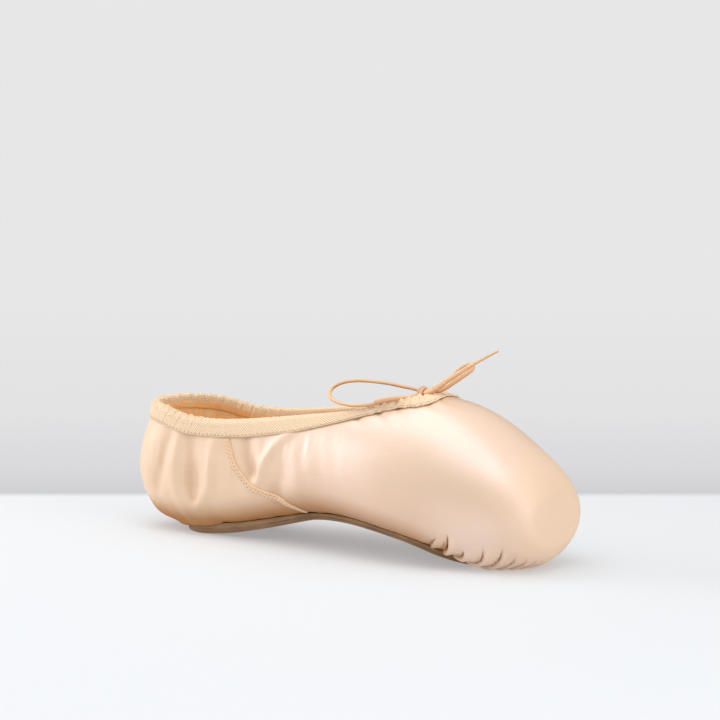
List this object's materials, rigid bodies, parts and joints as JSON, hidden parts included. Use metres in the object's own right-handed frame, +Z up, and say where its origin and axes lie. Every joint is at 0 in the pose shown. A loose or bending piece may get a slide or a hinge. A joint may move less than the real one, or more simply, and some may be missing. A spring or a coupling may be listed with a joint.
{
  "type": "pointe shoe",
  "caption": "Satin ballet pointe shoe with a stiff flat-ended toe box, bound collar, drawstring bow and short leather sole.",
  "frame": {"origin": "on the floor under the middle of the shoe, halfway between the back of the heel and the platform", "axes": "+X along the shoe towards the toe's platform, +Z up, +Y to the wearer's left"},
  "size_m": [0.236, 0.076, 0.0969],
  "materials": {
    "satin": "glossy peach satin with a soft sheen",
    "casing": "matte ribbed twill",
    "sole_leather": "matte buffed leather with a cut edge",
    "insole_board": "matte cotton over board",
    "elastic": "matte braided elastic"
  },
  "bodies": {
    "root": {"upper": "satin", "outsole": "sole_leather", "insole": "insole_board", "binding": "casing", "side_seam_left": "satin", "side_seam_right": "satin", "drawstring_knot": "elastic", "drawstring_loop_heelward": "elastic", "drawstring_loop_toeward": "elastic", "drawstring_end_heelward": "elastic", "drawstring_end_toeward": "elastic"}
  },
  "joints": []
}
